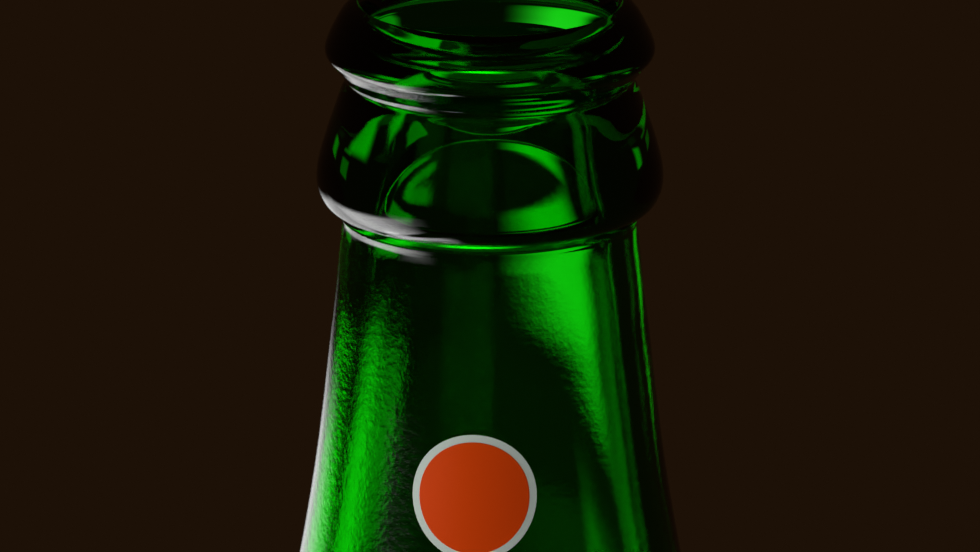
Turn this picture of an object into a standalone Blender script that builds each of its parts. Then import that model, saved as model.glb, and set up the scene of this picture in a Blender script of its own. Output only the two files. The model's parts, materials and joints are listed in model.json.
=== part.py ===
"""Green glass beer bottle with a crown finish, empty and open, standing on its base.

Metres, +Z up. The origin is at the centre of the bottle's footprint, on the surface that it stands on.
The whole bottle is one turned piece of glass: a wall between an outer and an inner outline.
Outlines are given as landmarks, each a radius and a depth under the top of the lip, in millimetres.
"""
import math

import bpy

MM = 0.001

# Driving sizes, in millimetres
HEIGHT = 220.0
BODY_RADIUS = 30.2
WALL = 2.2
SEGMENTS = 64

# Crown finish: depths under the top of the lip, and radii
LIP_RADIUS = 10.7
RING_RADIUS = 13.3
RING_DEPTH = 3.8
GROOVE_RADIUS = 11.6
GROOVE_DEPTH = 6.4
COLLAR_RADIUS = 13.95
COLLAR_DEPTH = 13.5
CREASE_RADIUS = 11.85
CREASE_DEPTH = 17.3
BEAD_RADIUS = 12.1
BEAD_DEPTH = 17.75
NECK_RADIUS = 11.95
NECK_DEPTH = 18.45
BORE_RADIUS = 8.3
BORE_DEPTH = 5.5

# Points that round the finish, as steps of radius and depth from the landmark beside them
LIP_EASES = [(0.8, 0.45), (1.6, 1.45)]
RING_UNDERSIDE = (-0.7, 1.25)
COLLAR_RISE = (0.6, 1.4)
COLLAR_FALL = (-0.35, 2.75)
BEAD_FALL = (0.05, 0.4)

# Neck, shoulder and body
NECK_SPREAD = (1.0, 9.05)
LOW_NECK_RADIUS = 15.35
LOW_NECK_DEPTH = 45.0
UPPER_SHOULDER = (22.2, 79.0)
LOWER_SHOULDER = (27.5, 102.0)
SHOULDER_DEPTH = 124.0
BODY_START = 14.0

# Heel, the ring that the bottle rests on and the dome pushed up under the base
HEEL_RADIUS = 6.0
REST_RADIUS = 24.0
REST_WIDTH = 1.6
DOME_RADIUS = 21.4
DOME_EDGE = 1.0
DOME_HEIGHT = 4.0
DOME_STEPS = 5
HEEL_TURN = 78
HEEL_STEPS = 5

# Inner side of the wall: floor, heel, shoulder, neck, and the mouth inside the finish
FLOOR_THICKNESS = 4.0
FLOOR_RADIUS = 11.0
FLOOR_FALL = 1.6
INNER_HEEL = 10.0
INNER_HEEL_FALL = 3.0
INNER_BODY_DEPTH = 139.0
INNER_SHOULDER_DEPTH = 125.0
INNER_LOWER_SHOULDER = (25.2, 102.5)
INNER_UPPER_SHOULDER = (19.8, 79.5)
LOW_NECK_WALL = 2.4
NECK_INSIDE = (10.23, 24.5)
THROAT = (9.0, 14.0)
MOUTH_INSIDE = [(8.7, 3.6), (9.5, 1.9), (10.15, 0.6), (10.45, 0.12)]

# Straight steps between one landmark and the next, outside down to the base and inside up to the lip
FINISH_STEPS = [2, 2, 3, 2, 2, 3, 4, 3, 2]
SLOPE_STEPS = [2, 3, 4, 3, 4, 1]
INNER_STEPS = [1, 4, 3, 4, 3, 2, 2, 1, 2, 2, 1]

# Distance within which the turned ends join, in metres
JOIN_DISTANCE = 0.00001

# Look of the glass
GLASS_COLOUR = (0.01, 0.28, 0.02, 1)
GLASS_ROUGHNESS = 0.03
GLASS_INDEX = 1.52
GLASS_CLEARNESS = 0.9


def smooth_run(landmarks, steps):
    """Points of a smooth curve through the landmarks, with a number of steps between each two."""
    first = [2 * a - b for a, b in zip(landmarks[0], landmarks[1])]
    last = [2 * a - b for a, b in zip(landmarks[-1], landmarks[-2])]
    marks = [first, *landmarks, last]
    points = []
    for i, count in zip(range(1, len(marks) - 2), steps):
        a, b, c, d = marks[i - 1:i + 3]
        for k in range(count):
            t = k / count
            points.append(tuple(
                0.5 * (2 * q + (r - p) * t + (2 * p - 5 * q + 4 * r - s) * t ** 2
                       + (3 * q - p - 3 * r + s) * t ** 3)
                for p, q, r, s in zip(a, b, c, d)
            ))
    points.append(tuple(landmarks[-1]))
    return points


def from_mark(radius, depth, step):
    """The point a step of radius and depth away from a landmark."""
    return (radius + step[0], depth + step[1])


def arc(centre_radius, centre_depth, size, start, end, count):
    """Points of a circular arc; angles in degrees from straight out, positive downwards."""
    angles = [math.radians(start + (end - start) * k / count) for k in range(count + 1)]
    return [(centre_radius + size * math.cos(a), centre_depth + size * math.sin(a)) for a in angles]


def finish_outline():
    """The outer side of the finish, from the lip down to the crease under the collar."""
    marks = [(LIP_RADIUS, 0.0)]
    marks += [from_mark(LIP_RADIUS, 0.0, step) for step in LIP_EASES]
    marks += [
        (RING_RADIUS, RING_DEPTH),
        from_mark(RING_RADIUS, RING_DEPTH, RING_UNDERSIDE),
        (GROOVE_RADIUS, GROOVE_DEPTH),
        from_mark(GROOVE_RADIUS, GROOVE_DEPTH, COLLAR_RISE),
        (COLLAR_RADIUS, COLLAR_DEPTH),
        from_mark(COLLAR_RADIUS, COLLAR_DEPTH, COLLAR_FALL),
        (CREASE_RADIUS, CREASE_DEPTH),
    ]
    return smooth_run(marks, FINISH_STEPS)


def neck_outline():
    """The bead under the collar, then the neck that widens into the shoulder and the straight body."""
    bead = [(BEAD_RADIUS, BEAD_DEPTH), from_mark(NECK_RADIUS, BEAD_DEPTH, BEAD_FALL)]
    slope = smooth_run([
        (NECK_RADIUS, NECK_DEPTH),
        from_mark(NECK_RADIUS, NECK_DEPTH, NECK_SPREAD),
        (LOW_NECK_RADIUS, LOW_NECK_DEPTH),
        UPPER_SHOULDER,
        LOWER_SHOULDER,
        (BODY_RADIUS, SHOULDER_DEPTH),
        (BODY_RADIUS, SHOULDER_DEPTH + BODY_START),
    ], SLOPE_STEPS)
    return bead + slope


def base_outline():
    """The heel, the narrow flat ring that the bottle rests on, and the dome under the base."""
    heel = arc(BODY_RADIUS - HEEL_RADIUS, HEIGHT - HEEL_RADIUS, HEEL_RADIUS, 0, HEEL_TURN, HEEL_STEPS)
    ring = [(REST_RADIUS + REST_WIDTH / 2, HEIGHT), (REST_RADIUS - REST_WIDTH / 2, HEIGHT)]
    dome = []
    for k in range(DOME_STEPS + 1):
        share = k / DOME_STEPS
        rise = DOME_EDGE + (DOME_HEIGHT - DOME_EDGE) * math.sin(share * math.pi / 2)
        dome.append((DOME_RADIUS * (1 - share), HEIGHT - rise))
    return heel + ring + dome


def inner_outline():
    """The inner side of the wall, from the middle of the floor up to the top of the lip."""
    floor_depth = HEIGHT - DOME_HEIGHT - FLOOR_THICKNESS
    inner_body = BODY_RADIUS - WALL
    floor = [(0.0, floor_depth), (FLOOR_RADIUS, floor_depth + FLOOR_FALL)]
    heel_depth = floor_depth + INNER_HEEL_FALL - INNER_HEEL
    heel = arc(inner_body - INNER_HEEL, heel_depth, INNER_HEEL, 90, 0, HEEL_STEPS)
    rise = smooth_run([
        (inner_body, INNER_BODY_DEPTH),
        (inner_body, INNER_SHOULDER_DEPTH),
        INNER_LOWER_SHOULDER,
        INNER_UPPER_SHOULDER,
        (LOW_NECK_RADIUS - LOW_NECK_WALL, LOW_NECK_DEPTH),
        NECK_INSIDE,
        THROAT,
        (BORE_RADIUS, BORE_DEPTH),
        *MOUTH_INSIDE,
    ], INNER_STEPS)
    return floor + heel + rise


def glass_material():
    """Clear green container glass."""
    material = bpy.data.materials.new("green_glass")
    material.use_nodes = True
    shader = material.node_tree.nodes["Principled BSDF"]
    shader.inputs["Base Color"].default_value = GLASS_COLOUR
    shader.inputs["Metallic"].default_value = 0.0
    shader.inputs["Roughness"].default_value = GLASS_ROUGHNESS
    shader.inputs["IOR"].default_value = GLASS_INDEX
    shader.inputs["Transmission Weight"].default_value = GLASS_CLEARNESS
    return material


def make_bottle():
    """Turns the closed wall outline about the axis."""
    outline = inner_outline() + finish_outline() + neck_outline() + base_outline()
    mesh = bpy.data.meshes.new("bottle")
    points = [(radius * MM, 0.0, (HEIGHT - depth) * MM) for radius, depth in outline]
    mesh.from_pydata(points, [(i, i + 1) for i in range(len(points) - 1)], [])
    mesh.materials.append(glass_material())
    bottle = bpy.data.objects.new("bottle", mesh)
    bpy.context.scene.collection.objects.link(bottle)
    turn = bottle.modifiers.new("turn", "SCREW")
    turn.axis = "Z"
    turn.angle = math.tau
    turn.steps = SEGMENTS
    turn.render_steps = SEGMENTS
    turn.use_merge_vertices = True
    turn.merge_threshold = JOIN_DISTANCE
    turn.use_smooth_shade = True
    return bottle


for old in list(bpy.data.objects):
    bpy.data.objects.remove(old, do_unlink=True)

make_bottle()
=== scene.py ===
"""Looks of an empty green glass beer bottle: fine turned glass, a printed neck spot, and a studio stage."""
import json
import math

import bpy
from bpy.props import FloatProperty, FloatVectorProperty, IntProperty, PointerProperty
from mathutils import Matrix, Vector, noise

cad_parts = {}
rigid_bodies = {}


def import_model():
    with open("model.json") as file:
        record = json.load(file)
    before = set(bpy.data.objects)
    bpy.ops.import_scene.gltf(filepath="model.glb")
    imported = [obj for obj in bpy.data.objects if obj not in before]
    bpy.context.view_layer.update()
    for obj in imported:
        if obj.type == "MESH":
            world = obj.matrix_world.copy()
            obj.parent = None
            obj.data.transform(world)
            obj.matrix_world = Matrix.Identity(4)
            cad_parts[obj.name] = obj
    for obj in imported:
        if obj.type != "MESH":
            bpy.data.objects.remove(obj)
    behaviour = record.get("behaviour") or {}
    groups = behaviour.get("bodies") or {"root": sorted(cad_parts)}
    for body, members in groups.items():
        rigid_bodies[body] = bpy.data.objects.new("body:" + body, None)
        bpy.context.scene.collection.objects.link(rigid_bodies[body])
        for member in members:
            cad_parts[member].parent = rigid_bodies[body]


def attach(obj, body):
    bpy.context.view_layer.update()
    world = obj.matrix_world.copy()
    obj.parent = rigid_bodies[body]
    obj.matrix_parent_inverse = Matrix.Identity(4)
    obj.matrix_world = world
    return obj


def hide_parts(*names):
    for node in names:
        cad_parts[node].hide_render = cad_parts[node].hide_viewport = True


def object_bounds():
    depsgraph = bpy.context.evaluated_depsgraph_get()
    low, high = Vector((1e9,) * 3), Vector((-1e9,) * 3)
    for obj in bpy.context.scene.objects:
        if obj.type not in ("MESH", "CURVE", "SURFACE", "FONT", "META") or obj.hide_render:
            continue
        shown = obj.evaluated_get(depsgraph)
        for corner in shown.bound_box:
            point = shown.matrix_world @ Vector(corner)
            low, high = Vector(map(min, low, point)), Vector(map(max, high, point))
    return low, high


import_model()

bl_info = {
    "name": "Green Beer Bottle",
    "version": (1, 0, 0),
    "blender": (4, 5, 0),
    "location": "View3D > Sidebar > Bottle",
    "description": "Builds a green glass beer bottle with a crown finish and a printed neck spot",
    "category": "Add Mesh",
}

MM = 0.001
CAD_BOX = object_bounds()
HEIGHT = CAD_BOX[1][2] - CAD_BOX[0][2]
BODY_RADIUS = (CAD_BOX[1][0] - CAD_BOX[0][0]) / 2

# Steps of radius and depth from a landmark of the outline to a point beside it, in millimetres
LIP_EASES = [(0.8, 0.45), (1.6, 1.45)]
RING_UNDERSIDE = (-0.7, 1.25)
COLLAR_RISE = (0.6, 1.4)
COLLAR_FALL = (-0.35, 2.75)
BEAD_RISE = (-0.1, -0.25)
BEAD_FALL = (0.05, 0.4)
NECK_SPREAD = (1.0, 9.05)
LOWER_SHOULDER_INSIDE = (-2.3, 0.5)
UPPER_SHOULDER_INSIDE = (-2.4, 0.5)
LOW_NECK_INSIDE = (-2.4, 0.0)
NECK_INSIDE = (-1.72, 6.05)
THROAT = (0.7, 8.5)

# Points of the mouth, as steps of radius from the bore or the lip and depths under the lip, in millimetres
MOUTH_FLARES = [(0.4, 3.6), (1.2, 1.9)]
LIP_INSIDE = [(-0.55, 0.6), (-0.25, 0.12)]

# Straight body, base and inner floor, in millimetres
BODY_START = 14
DOME_EDGE = 1.0
BASE_THICKNESS = 4
FLOOR_RADIUS = 11
FLOOR_FALL = 1.6
INNER_HEEL = 10
INNER_HEEL_FALL = 3
INNER_BODY_START = 15
INNER_SHOULDER_START = 1

# Turn of the heel in degrees, and straight steps round the heel and the dome
HEEL_TURN = 78
HEEL_STEPS = 12
DOME_STEPS = 14

# Distance between the points of each stretch of the outline, in millimetres
FINISH_SPACING = 0.3
BEAD_SPACING = 0.12
SLOPE_SPACING = 1.2
FLOOR_SPACING = 2
INNER_SPACING = 0.9

# Distance within which the turned ends join, in metres, and the angle in degrees that still shades smooth
JOIN_DISTANCE = 0.000005
SMOOTH_ANGLE = 35

# Wandering of the inner wall: the calm depth and its fade in millimetres, and changes a metre each way
CALM_DEPTH = 8
CALM_FADE = 12
WANDER_ACROSS = 90
WANDER_ALONG = 45

# Limits that tell the inner side of the wall from the outer one, in millimetres
FINISH_SWELL = 2
LIP_ROUND = 2
FOOT_HEIGHT = 12
HALF_WALL = 1.0

# Surface of the glass; the ripple fades between depths under the lip and places across, in millimetres
GLASS_INDEX = 1.52
GRAIN_DETAIL = 3.0
GRAIN_ROUGHNESS = 0.55
MOULDED_BELOW = 22
SMOOTH_ABOVE = 18
FINISH_GRAIN = 0.12
WORN_FROM = -10
WORN_TO = 2
WORN_GRAIN = 0.3

# Enamel print: steps of its discs, and spacing and height of its mottle in millimetres
PRINT_RINGS = 8
PRINT_FACETS = 72
ENAMEL_INDEX = 1.5
ENAMEL_ROUGHNESS = 0.32
MOTTLE_SPACING = 0.35
MOTTLE_HEIGHT = 0.004
MOTTLE_DETAIL = 2.0

# Paper floor, its thickness in millimetres, and the nearest distance that the camera shows, in metres
PAPER_ROUGHNESS = 0.9
PAPER_THICKNESS = 4
PAPER_FACETS = 96
CLIP_START = 0.01

# Soft boxes: name, azimuth in degrees, then distance, low edge, high edge and width in millimetres, then
# glow, the shares of width and height that fade, and the slant of the lower edge

# Behind the bottle, seen through the glass and not mirrored in it
BACK_BOXES = [
    ("right_strip", 9.0, 300, 76, 200, 84, 1.2, (0.40, 0.16), -0.24),
    ("right_low", 9, 300, 30, 82, 110, 0.03, (0.35, 0.2)),
    ("left_low", -16.5, 500, 1, 48, 135, 0.42, (0.14, 0.4)),
    ("left_high", -20.5, 150, 168, 214, 42, 0.45, (0.2, 0.15)),
    ("back_below", -5, 60, 30, 147, 45, 2.5, (0.3, 0.1)),
]

# Beside the bottle, seen through the glass and mirrored in it
SIDE_BOXES = [
    ("left_back", -35, 150, 30, 158, 110, 1.5, (0.3, 0.15)),
    ("sheen", -123, 130, 120, 174, 85, 0.6, (0.4, 0.2)),
    ("left_below", -45, 60, 1, 128, 160, 4.0, (0.25, 0.2)),
]

# Left of the bottle, mirrored in the glass and not seen through it
FACE_BOXES = [
    ("left", -86, 130, 1, 157, 260, 5.0, (0.45, 0.15)),
    ("side_below", -112, 60, 1, 112, 90, 4.5, (0.4, 0.25)),
]

# In front, one for the print and one high up for the floor alone; neither is mirrored or seen through glass
KEY_BOX = (-150, 400, 60, 180, 120, 32.0, (0.3, 0.3))
FLOOR_BOX = (180, 500, 500, 800, 300, 20.0, (0.3, 0.3))


def linear(code):
    """Turns an sRGB hex value into the linear colour that shaders take."""
    channels = [int(code[i:i + 2], 16) / 255 for i in (0, 2, 4)]
    return tuple(c / 12.92 if c <= 0.04045 else ((c + 0.055) / 1.055) ** 2.4 for c in channels)


def size(name, text, millimetres):
    """A length property with its default in millimetres."""
    return FloatProperty(name=name, description=text, default=millimetres * MM, unit="LENGTH", precision=5)


class BottleSizes(bpy.types.PropertyGroup):
    """Sizes of the glass."""
    lip_radius: size("Lip radius", "Radius of the highest line of the lip", 10.7)
    ring_radius: size("Ring radius", "Largest radius of the locking ring that a crown cork grips", 13.3)
    ring_depth: size("Ring depth", "Depth of the locking ring under the top", 3.8)
    groove_radius: size("Groove radius", "Smallest radius between ring and collar", 11.6)
    groove_depth: size("Groove depth", "Depth of the groove under the top", 6.4)
    collar_radius: size("Collar radius", "Largest radius of the thick collar", 13.95)
    collar_depth: size("Collar depth", "Depth of the collar's widest line under the top", 13.5)
    crease_radius: size("Crease radius", "Radius of the crease under the collar", 11.85)
    crease_depth: size("Crease depth", "Depth of the crease under the top", 17.3)
    bead_radius: size("Bead radius", "Radius of the thin bead under the crease", 12.1)
    bead_depth: size("Bead depth", "Depth of the bead under the top", 17.75)
    neck_radius: size("Neck radius", "Outer radius at the top of the neck", 11.95)
    neck_depth: size("Neck depth", "Depth of the neck's top under the lip", 18.45)
    low_neck_radius: size("Low neck radius", "Outer radius where the neck starts to swell", 15.35)
    low_neck_depth: size("Low neck depth", "Depth of that place under the lip", 45.0)
    upper_shoulder_radius: size("Upper shoulder radius", "Outer radius where the swell is steepest", 22.2)
    upper_shoulder_depth: size("Upper shoulder depth", "Depth of that place under the lip", 79.0)
    lower_shoulder_radius: size("Lower shoulder radius", "Outer radius where the shoulder rounds off", 27.5)
    lower_shoulder_depth: size("Lower shoulder depth", "Depth of that place under the lip", 102.0)
    shoulder_depth: size("Shoulder depth", "Depth under the lip where the straight body starts", 124.0)
    bore_radius: size("Bore radius", "Smallest inner radius, in the mouth", 8.3)
    bore_depth: size("Bore depth", "Depth of the narrowest place in the mouth", 5.5)
    wall: size("Wall", "Thickness of the body's wall", 2.2)
    heel_radius: size("Heel radius", "Radius of the rounding at the foot of the body", 6.0)
    rest_radius: size("Rest radius", "Radius of the ring that the bottle stands on", 24.0)
    rest_width: size("Rest width", "Width of that ring", 1.6)
    dome_radius: size("Dome radius", "Radius of the dome under the base", 21.4)
    dome_height: size("Dome height", "How far the base is pushed up in the middle", 4.0)
    facets: IntProperty(name="Steps", description="Steps of the full turn", default=192, min=64, max=256)


class GlassLook(bpy.types.PropertyGroup):
    """Colour and surface of the glass."""
    colour: FloatVectorProperty(
        name="Colour", description="What a thick wall of the glass lets through", subtype="COLOR",
        default=(0.02, 0.88, 0.02), min=0.0, max=1.0)
    depth_of_colour: FloatProperty(
        name="Depth of colour", description="Absorption per metre of glass", default=1100.0, min=0.0)
    mould_grain: size("Mould grain", "Spacing of the fine ripple that the mould leaves", 0.6)
    grain_height: size("Grain height", "Height of that ripple", 0.016)
    waviness: size("Waviness", "How far the inner wall wanders from a true round", 0.10)


class SpotLook(bpy.types.PropertyGroup):
    """The enamel spot printed on the neck."""
    radius: size("Radius", "Radius of the spot with its border", 5.1)
    border: size("Border", "Width of the white border", 0.6)
    height: size("Height", "Height of the spot's centre above the floor", 182.6)
    turn: FloatProperty(
        name="Turn", description="Turn from the front towards the left", default=math.radians(5.3),
        subtype="ANGLE")
    ink: size("Ink", "Thickness of one layer of enamel", 0.03)
    red: FloatVectorProperty(
        name="Red", description="Colour of the enamel in the middle", subtype="COLOR",
        default=linear("E2480A"), min=0.0, max=1.0)
    white: FloatVectorProperty(
        name="White", description="Colour of the enamel border", subtype="COLOR",
        default=linear("CFDDD2"), min=0.0, max=1.0)


class StageLook(bpy.types.PropertyGroup):
    """Floor, backdrop, lights and camera."""
    floor: FloatVectorProperty(
        name="Floor", description="Colour of the floor", subtype="COLOR", default=linear("D8D6D2"))
    floor_radius: size("Floor radius", "Radius of the round floor", 330.0)
    backdrop: FloatVectorProperty(
        name="Backdrop", description="Colour of the room round the bottle", subtype="COLOR",
        default=linear("1D1107"))
    camera_distance: size("Camera distance", "From the bottle's axis to the camera", 600.0)
    camera_elevation: FloatProperty(
        name="Camera elevation", description="How far the camera looks down", default=math.radians(17.0),
        subtype="ANGLE")
    aim_depth: size("Aim depth", "Depth under the lip of the point that the camera looks at", 23.15)
    field: size("Field", "Width of the view at the bottle's axis", 79.6)


def deselect_all():
    """Leaves object mode with nothing selected."""
    if bpy.context.object and bpy.context.object.mode != "OBJECT":
        bpy.ops.object.mode_set(mode="OBJECT")
    bpy.ops.object.select_all(action="DESELECT")


def smooth_run(landmarks, spacing):
    """Points of a smooth curve through landmarks, each a (radius, depth), about so far apart."""
    first = [2 * a - b for a, b in zip(landmarks[0], landmarks[1])]
    last = [2 * a - b for a, b in zip(landmarks[-1], landmarks[-2])]
    marks = [first, *landmarks, last]
    points = []
    for i in range(1, len(marks) - 2):
        a, b, c, d = marks[i - 1:i + 3]
        count = max(1, round(math.dist(b, c) / spacing))
        for k in range(count):
            t = k / count
            points.append(tuple(
                0.5 * (2 * q + (r - p) * t + (2 * p - 5 * q + 4 * r - s) * t ** 2
                       + (3 * q - p - 3 * r + s) * t ** 3)
                for p, q, r, s in zip(a, b, c, d)
            ))
    points.append(tuple(landmarks[-1]))
    return points


def arc(centre_radius, centre_depth, radius, start, end, count):
    """Points of an arc; angles in degrees from straight out, positive downwards."""
    angles = [math.radians(start + (end - start) * k / count) for k in range(count + 1)]
    return [(centre_radius + radius * math.cos(a), centre_depth + radius * math.sin(a)) for a in angles]


def round_off(outline):
    """Keeps the curve's overshoot at the shoulder inside the straight body."""
    return [(min(radius, BODY_RADIUS), depth) for radius, depth in outline]


def beside(landmark, step):
    """The point a step of radius and depth, in millimetres, away from a landmark."""
    radius, depth = landmark
    return (radius + step[0] * MM, depth + step[1] * MM)


def outer_finish(s):
    """Lip, locking ring, groove and collar, down to the crease."""
    lip = (s.lip_radius, 0.0)
    ring = (s.ring_radius, s.ring_depth)
    groove = (s.groove_radius, s.groove_depth)
    collar = (s.collar_radius, s.collar_depth)
    return smooth_run([
        lip,
        *[beside(lip, step) for step in LIP_EASES],
        ring,
        beside(ring, RING_UNDERSIDE),
        groove,
        beside(groove, COLLAR_RISE),
        collar,
        beside(collar, COLLAR_FALL),
        (s.crease_radius, s.crease_depth),
    ], FINISH_SPACING * MM)


def outer_neck(s):
    """Bead, neck, shoulder and the top of the straight body."""
    crest = (s.bead_radius, s.bead_depth)
    bead = smooth_run([
        beside(crest, BEAD_RISE),
        crest,
        beside((s.neck_radius, s.bead_depth), BEAD_FALL),
    ], BEAD_SPACING * MM)
    neck = (s.neck_radius, s.neck_depth)
    slope = smooth_run([
        neck,
        beside(neck, NECK_SPREAD),
        (s.low_neck_radius, s.low_neck_depth),
        (s.upper_shoulder_radius, s.upper_shoulder_depth),
        (s.lower_shoulder_radius, s.lower_shoulder_depth),
        (BODY_RADIUS, s.shoulder_depth),
        (BODY_RADIUS, s.shoulder_depth + BODY_START * MM),
    ], SLOPE_SPACING * MM)
    return bead + round_off(slope)


def outer_base(s):
    """Heel, resting ring and the dome under the base."""
    heel_radius = s.heel_radius
    heel = arc(BODY_RADIUS - heel_radius, HEIGHT - heel_radius, heel_radius, 0, HEEL_TURN, HEEL_STEPS)
    half = s.rest_width / 2
    ring = [(s.rest_radius + half, HEIGHT), (s.rest_radius - half, HEIGHT)]
    edge_rise = DOME_EDGE * MM
    dome = []
    for k in range(DOME_STEPS + 1):
        share = k / DOME_STEPS
        rise = edge_rise + (s.dome_height - edge_rise) * math.sin(share * math.pi / 2)
        dome.append((s.dome_radius * (1 - share), HEIGHT - rise))
    return heel + ring + dome


def inner_wall(s):
    """From the middle of the floor inside up to the lip."""
    middle = (0.0, HEIGHT - s.dome_height - BASE_THICKNESS * MM)
    inner_body = BODY_RADIUS - s.wall
    heel = INNER_HEEL * MM
    floor = smooth_run([middle, beside(middle, (FLOOR_RADIUS, FLOOR_FALL))], FLOOR_SPACING * MM)
    heel_depth = middle[1] + INNER_HEEL_FALL * MM - heel
    corner = arc(inner_body - heel, heel_depth, heel, 90, 0, HEEL_STEPS)
    bore = (s.bore_radius, s.bore_depth)
    rise = smooth_run([
        (inner_body, s.shoulder_depth + INNER_BODY_START * MM),
        (inner_body, s.shoulder_depth + INNER_SHOULDER_START * MM),
        beside((s.lower_shoulder_radius, s.lower_shoulder_depth), LOWER_SHOULDER_INSIDE),
        beside((s.upper_shoulder_radius, s.upper_shoulder_depth), UPPER_SHOULDER_INSIDE),
        beside((s.low_neck_radius, s.low_neck_depth), LOW_NECK_INSIDE),
        beside((s.neck_radius, s.neck_depth), NECK_INSIDE),
        beside(bore, THROAT),
        bore,
        *[beside((s.bore_radius, 0.0), step) for step in MOUTH_FLARES],
        *[beside((s.lip_radius, 0.0), step) for step in LIP_INSIDE],
    ], INNER_SPACING * MM)
    return floor + corner + [(min(radius, inner_body), depth) for radius, depth in rise]


def outer_radius(s, depth):
    """Outer radius of the neck at a depth under the lip."""
    points = outer_neck(s)
    for (r1, d1), (r2, d2) in zip(points, points[1:]):
        if d1 <= depth <= d2 and d2 > d1:
            return r1 + (r2 - r1) * (depth - d1) / (d2 - d1)
    raise ValueError("that depth isn't on the neck")


def turn_outline(name, outline, steps):
    """Extrudes a point along an outline in edit mode and spins it about the axis."""
    deselect_all()
    bpy.ops.mesh.primitive_plane_add(size=MM, location=(0, 0, 0))
    piece = bpy.context.object
    piece.name = name
    bpy.ops.object.mode_set(mode="EDIT")
    bpy.ops.mesh.select_all(action="SELECT")
    bpy.ops.mesh.merge(type="CENTER")
    bpy.ops.mesh.select_all(action="SELECT")
    here = Vector((0, 0, 0))
    for i, (radius, depth) in enumerate(outline):
        there = Vector((radius, 0, HEIGHT - depth))
        if i == 0:
            bpy.ops.transform.translate(value=there - here)
        else:
            bpy.ops.mesh.extrude_vertices_move(TRANSFORM_OT_translate={"value": there - here})
        here = there
    bpy.ops.mesh.select_all(action="SELECT")
    bpy.ops.mesh.spin(steps=steps, angle=math.tau, center=(0, 0, 0), axis=(0, 0, 1), use_auto_merge=True)
    bpy.ops.mesh.select_all(action="SELECT")
    bpy.ops.mesh.remove_doubles(threshold=JOIN_DISTANCE)
    bpy.ops.mesh.normals_make_consistent(inside=False)
    bpy.ops.object.mode_set(mode="OBJECT")
    return piece


def settle(piece):
    """Puts a finished piece's object at the origin, unturned and unscaled."""
    deselect_all()
    piece.select_set(True)
    bpy.context.view_layer.objects.active = piece
    bpy.ops.object.transform_apply(location=True, rotation=True, scale=True)


def add_node(tree, kind, values=None, links=None, **settings):
    """Adds a node, sets its properties and input values, and links its inputs from (node, output) pairs."""
    node = tree.nodes.new(kind)
    for key, value in settings.items():
        setattr(node, key, value)
    for key, value in (values or {}).items():
        node.inputs[key].default_value = value
    for key, (source, output) in (links or {}).items():
        tree.links.new(source.outputs[output], node.inputs[key])
    return node


def new_material(name):
    """A material with an empty node tree and its output node."""
    material = bpy.data.materials.new(name)
    material.use_nodes = True
    material.node_tree.nodes.clear()
    return material, material.node_tree


def container_glass(look):
    """Chrome-green soda-lime container glass, blown in an iron mould and fire-polished at the mouth.

    The colour comes from the depth of glass that light passes, so rims and thick walls go dark.
    The mould leaves a fine ripple on the neck and body; the finish, made by the neck ring, is smoother.
    The ripple is worn down on the right.
    """
    material, tree = new_material("green_container_glass")
    place = add_node(tree, "ShaderNodeTexCoord")
    grain = add_node(
        tree, "ShaderNodeTexNoise",
        {"Scale": 1 / look.mould_grain, "Detail": GRAIN_DETAIL, "Roughness": GRAIN_ROUGHNESS},
        {"Vector": (place, "Object")})
    parts = add_node(tree, "ShaderNodeSeparateXYZ", None, {"Vector": (place, "Object")})
    moulded = add_node(
        tree, "ShaderNodeMapRange",
        {"From Min": HEIGHT - MOULDED_BELOW * MM, "From Max": HEIGHT - SMOOTH_ABOVE * MM,
         "To Min": 1.0, "To Max": FINISH_GRAIN},
        {"Value": (parts, "Z")})
    worn = add_node(
        tree, "ShaderNodeMapRange",
        {"From Min": WORN_FROM * MM, "From Max": WORN_TO * MM, "To Min": 1.0, "To Max": WORN_GRAIN},
        {"Value": (parts, "X")}, interpolation_type="SMOOTHSTEP")
    rough = add_node(
        tree, "ShaderNodeMath", None, {0: (moulded, "Result"), 1: (worn, "Result")}, operation="MULTIPLY")
    ripple = add_node(
        tree, "ShaderNodeBump", {"Distance": look.grain_height},
        {"Height": (grain, "Fac"), "Strength": (rough, 0)})
    glass = add_node(
        tree, "ShaderNodeBsdfPrincipled",
        {"Base Color": (1, 1, 1, 1), "Roughness": 0.0, "IOR": GLASS_INDEX, "Transmission Weight": 1.0},
        {"Normal": (ripple, "Normal")})
    tint = add_node(
        tree, "ShaderNodeVolumeAbsorption",
        {"Color": (*look.colour, 1), "Density": look.depth_of_colour})
    add_node(
        tree, "ShaderNodeOutputMaterial", None,
        {"Surface": (glass, "BSDF"), "Volume": (tint, "Volume")})
    return material


def fired_enamel(name, colour):
    """Ceramic enamel, screen-printed on the glass and fired: opaque, smooth and slightly glossy."""
    material, tree = new_material(name)
    place = add_node(tree, "ShaderNodeTexCoord")
    mottle = add_node(
        tree, "ShaderNodeTexNoise", {"Scale": 1 / (MOTTLE_SPACING * MM), "Detail": MOTTLE_DETAIL},
        {"Vector": (place, "Object")})
    relief = add_node(
        tree, "ShaderNodeBump", {"Distance": MOTTLE_HEIGHT * MM, "Strength": 1.0},
        {"Height": (mottle, "Fac")})
    enamel = add_node(
        tree, "ShaderNodeBsdfPrincipled",
        {"Base Color": (*colour, 1), "Roughness": ENAMEL_ROUGHNESS, "IOR": ENAMEL_INDEX},
        {"Normal": (relief, "Normal")})
    add_node(tree, "ShaderNodeOutputMaterial", None, {"Surface": (enamel, "BSDF")})
    return material


def matte_paper(colour):
    """Uncoated studio paper: matte all over."""
    material, tree = new_material("studio_paper")
    paper = add_node(
        tree, "ShaderNodeBsdfPrincipled", {"Base Color": (*colour, 1), "Roughness": PAPER_ROUGHNESS})
    add_node(tree, "ShaderNodeOutputMaterial", None, {"Surface": (paper, "BSDF")})
    return material


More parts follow.
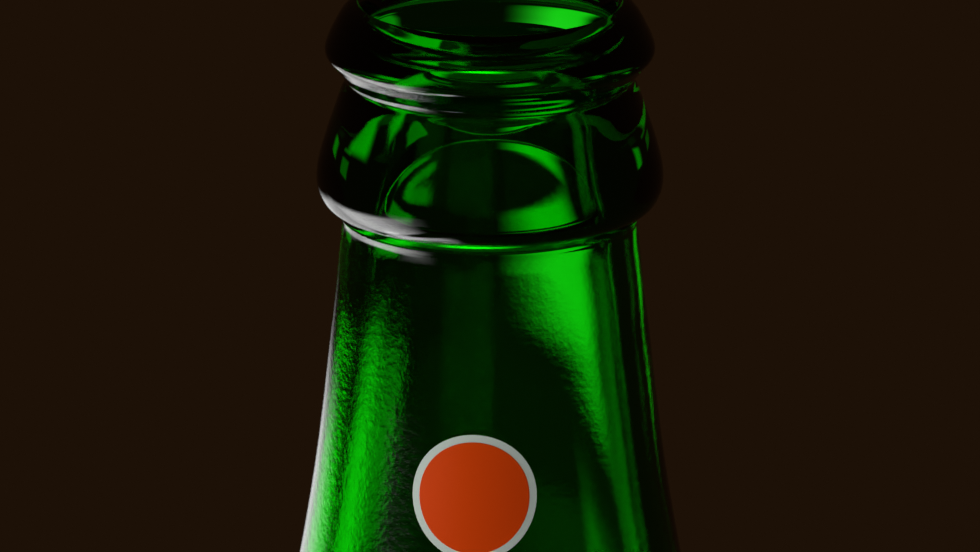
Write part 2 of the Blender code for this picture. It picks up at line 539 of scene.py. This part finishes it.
def wander_inside(piece, s, look):
    """Lets the inner wall under the mouth wander from a true round, as blown glass does."""
    calm = HEIGHT - CALM_DEPTH * MM
    for vertex in piece.data.vertices:
        x, y, z = vertex.co
        radius = math.hypot(x, y)
        if radius < MM or not on_inner_wall(radius, z, s):
            continue
        fade = min(1.0, max(0.0, (calm - z) / (CALM_FADE * MM)))
        drift = noise.noise(Vector((x * WANDER_ACROSS, y * WANDER_ACROSS, z * WANDER_ALONG)))
        share = 1 + look.waviness * fade * drift / radius
        vertex.co.x *= share
        vertex.co.y *= share


def on_inner_wall(radius, height, s):
    """True for a point on the inner wall, told by its distance from the axis; not at the lip and foot."""
    depth = HEIGHT - height
    if depth < s.neck_depth:
        finish_middle = (s.groove_radius + s.bore_radius + FINISH_SWELL * MM) / 2
        return radius < finish_middle and depth > LIP_ROUND * MM
    if height < FOOT_HEIGHT * MM:
        return False
    return radius < wall_middle(s, depth)


def wall_middle(s, depth):
    """Radius of the middle of the wall at a depth under the lip."""
    if depth >= s.shoulder_depth:
        return BODY_RADIUS - s.wall / 2
    return outer_radius(s, depth) - HALF_WALL * MM


class BOTTLE_OT_glass(bpy.types.Operator):
    """Turn the glass of the bottle and dress it in green container glass"""
    bl_idname = "bottle.glass"
    bl_label = "Glass bottle"

    def execute(self, context):
        s = context.scene.bottle_sizes
        look = context.scene.bottle_glass
        outline = inner_wall(s) + outer_finish(s) + outer_neck(s) + outer_base(s)
        bottle = turn_outline("glass_bottle", outline, s.facets)
        wander_inside(bottle, s, look)
        bpy.ops.object.shade_smooth_by_angle(angle=math.radians(SMOOTH_ANGLE))
        bottle.data.materials.append(container_glass(look))
        settle(bottle)
        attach(bottle, "root")
        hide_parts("bottle")
        return {"FINISHED"}


def print_disc(name, radius, lift, spot, s):
    """A thin disc of enamel that follows the round of the neck."""
    deselect_all()
    bpy.ops.mesh.primitive_circle_add(
        vertices=PRINT_FACETS, radius=radius, fill_type="NOTHING", location=(0, 0, 0))
    disc = bpy.context.object
    disc.name = name
    bpy.ops.object.mode_set(mode="EDIT")
    bpy.ops.mesh.select_all(action="SELECT")
    for left in range(PRINT_RINGS - 1, 0, -1):
        share = left / (left + 1)
        bpy.ops.mesh.extrude_edges_move()
        bpy.ops.transform.resize(value=(share, share, share))
    bpy.ops.mesh.edge_face_add()
    bpy.ops.mesh.poke()
    bpy.ops.mesh.select_all(action="SELECT")
    bpy.ops.mesh.normals_make_consistent(inside=False)
    bpy.ops.object.mode_set(mode="OBJECT")
    for vertex in disc.data.vertices:
        across, up = vertex.co.x, vertex.co.y
        height = spot.height + up
        reach = outer_radius(s, HEIGHT - height) + lift
        angle = across / reach - spot.turn
        vertex.co = Vector((reach * math.sin(angle), -reach * math.cos(angle), height))
    bpy.ops.object.mode_set(mode="EDIT")
    bpy.ops.mesh.select_all(action="SELECT")
    bpy.ops.mesh.normals_make_consistent(inside=False)
    bpy.ops.object.mode_set(mode="OBJECT")
    layer = disc.modifiers.new("layer", "SOLIDIFY")
    layer.thickness = spot.ink
    layer.offset = 0.0
    bpy.ops.object.modifier_apply(modifier="layer")
    bpy.ops.object.shade_smooth_by_angle(angle=math.radians(SMOOTH_ANGLE))
    settle(disc)
    return disc


class BOTTLE_OT_spot(bpy.types.Operator):
    """Print the white-edged red spot on the neck"""
    bl_idname = "bottle.spot"
    bl_label = "Enamel spot"

    def execute(self, context):
        s = context.scene.bottle_sizes
        spot = context.scene.bottle_spot
        under = print_disc("spot_border", spot.radius, spot.ink, spot, s)
        under.data.materials.append(fired_enamel("white_enamel", spot.white))
        over = print_disc("spot_centre", spot.radius - spot.border, 2 * spot.ink, spot, s)
        over.data.materials.append(fired_enamel("red_enamel", spot.red))
        for piece in (under, over):
            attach(piece, "root")
        return {"FINISHED"}


def box_edge(tree, parts, axis, soft, slant=0.0):
    """Fades a soft box from its middle, 0.5, towards its edges at 0 and 1; slant tilts those edges."""
    lean = add_node(
        tree, "ShaderNodeMath", {1: slant}, {0: (parts, 0), 2: (parts, axis)}, operation="MULTIPLY_ADD")
    off = add_node(tree, "ShaderNodeMath", {1: 0.5}, {0: (lean, 0)}, operation="SUBTRACT")
    out = add_node(tree, "ShaderNodeMath", None, {0: (off, 0)}, operation="ABSOLUTE")
    return add_node(
        tree, "ShaderNodeMapRange", {"From Min": 0.5 - soft, "From Max": 0.5, "To Min": 1.0, "To Max": 0.0},
        {"Value": (out, 0)}, interpolation_type="SMOOTHSTEP")


def soft_box(name, azimuth, distance, low, high, width, glow, soft, slant=0.0):
    """An upright soft box that faces the bottle's axis and fades at its edges.

    Azimuth 0 is behind the bottle, 90 right of it; low and high are heights; glow is the brightness of the
    box's face; soft is the share of the width and of the height that fades.
    """
    turn = math.radians(azimuth)
    place = Vector((math.sin(turn) * distance, math.cos(turn) * distance, (low + high) / 2)) * MM
    deselect_all()
    bpy.ops.object.light_add(type="AREA", location=place)
    light = bpy.context.object
    light.name = name
    light.data.shape = "RECTANGLE"
    light.data.size = width * MM
    light.data.size_y = (high - low) * MM
    light.data.energy = glow * math.pi * light.data.size * light.data.size_y
    light.rotation_euler = (Vector((0, 0, place.z)) - place).to_track_quat("-Z", "Y").to_euler()
    light.visible_camera = False
    light.data.use_nodes = True
    tree = light.data.node_tree
    here = add_node(tree, "ShaderNodeNewGeometry")
    parts = add_node(tree, "ShaderNodeSeparateXYZ", None, {0: (here, "Parametric")})
    across = box_edge(tree, parts, 0, soft[0])
    along = box_edge(tree, parts, 1, soft[1], slant)
    both = add_node(tree, "ShaderNodeMath", None, {0: (across, 0), 1: (along, 0)}, operation="MULTIPLY")
    tree.links.new(both.outputs[0], tree.nodes["Emission"].inputs["Strength"])
    return light


class BOTTLE_OT_stage(bpy.types.Operator):
    """Set the floor, the room, the soft lights and the camera"""
    bl_idname = "bottle.stage"
    bl_label = "Stage"

    def execute(self, context):
        look = context.scene.bottle_stage
        deselect_all()
        depth = PAPER_THICKNESS * MM
        bpy.ops.mesh.primitive_cylinder_add(
            vertices=PAPER_FACETS, radius=look.floor_radius, depth=depth, location=(0, 0, -depth / 2))
        floor = bpy.context.object
        floor.name = "floor"
        floor.visible_glossy = False
        floor.data.materials.append(matte_paper(look.floor))

        world = bpy.data.worlds.new("room")
        world.use_nodes = True
        world.node_tree.nodes["Background"].inputs["Color"].default_value = (*look.backdrop, 1)
        context.scene.world = world

        lit = bpy.data.collections.new("lit_by_boxes")
        for piece in context.scene.objects:
            if piece.type == "MESH" and piece != floor:
                lit.objects.link(piece)
        for name, *settings in BACK_BOXES:
            box = soft_box(name, *settings)
            box.light_linking.receiver_collection = lit
            box.visible_glossy = False
        for name, *settings in SIDE_BOXES:
            soft_box(name, *settings).light_linking.receiver_collection = lit
        for name, *settings in FACE_BOXES:
            box = soft_box(name, *settings)
            box.light_linking.receiver_collection = lit
            box.visible_transmission = False
        key = soft_box("key", *KEY_BOX)
        key.light_linking.receiver_collection = lit
        ground = bpy.data.collections.new("lit_floor")
        ground.objects.link(floor)
        over_floor = soft_box("over_floor", *FLOOR_BOX)
        over_floor.light_linking.receiver_collection = ground
        for box in (key, over_floor):
            box.visible_glossy = False
            box.visible_transmission = False

        aim = Vector((0, 0, HEIGHT - look.aim_depth))
        e = look.camera_elevation
        place = aim + look.camera_distance * Vector((0, -math.cos(e), math.sin(e)))
        deselect_all()
        bpy.ops.object.camera_add(location=place, rotation=(math.pi / 2 - e, 0, 0))
        camera = bpy.context.object
        camera.name = "camera"
        camera.data.lens = camera.data.sensor_width * look.camera_distance / look.field
        camera.data.clip_start = CLIP_START
        context.scene.camera = camera
        context.scene.view_settings.view_transform = "Standard"
        return {"FINISHED"}


class BOTTLE_PT_panel(bpy.types.Panel):
    """Sidebar panel that lists the bottle's pieces"""
    bl_idname = "BOTTLE_PT_panel"
    bl_label = "Beer bottle"
    bl_space_type = "VIEW_3D"
    bl_region_type = "UI"
    bl_category = "Bottle"

    def draw(self, context):
        for operator, group in STEPS:
            box = self.layout.box()
            box.operator(operator.bl_idname)
            if group:
                settings = getattr(context.scene, group)
                for name in settings.__annotations__:
                    box.prop(settings, name)
        box = self.layout.box()
        box.label(text="Sizes of the bottle")
        for name in BottleSizes.__annotations__:
            box.prop(context.scene.bottle_sizes, name)


GROUPS = {
    "bottle_sizes": BottleSizes,
    "bottle_glass": GlassLook,
    "bottle_spot": SpotLook,
    "bottle_stage": StageLook,
}
STEPS = [
    (BOTTLE_OT_glass, "bottle_glass"),
    (BOTTLE_OT_spot, "bottle_spot"),
    (BOTTLE_OT_stage, "bottle_stage"),
]
CLASSES = [*GROUPS.values(), *[operator for operator, group in STEPS], BOTTLE_PT_panel]


def register():
    for cls in CLASSES:
        bpy.utils.register_class(cls)
    for name, group in GROUPS.items():
        setattr(bpy.types.Scene, name, PointerProperty(type=group))


def unregister():
    for name in GROUPS:
        delattr(bpy.types.Scene, name)
    for cls in reversed(CLASSES):
        bpy.utils.unregister_class(cls)


def main():
    """Builds every piece."""
    register()
    bpy.ops.bottle.glass()
    bpy.ops.bottle.spot()
    bpy.ops.bottle.stage()


if __name__ == "__main__":
    main()
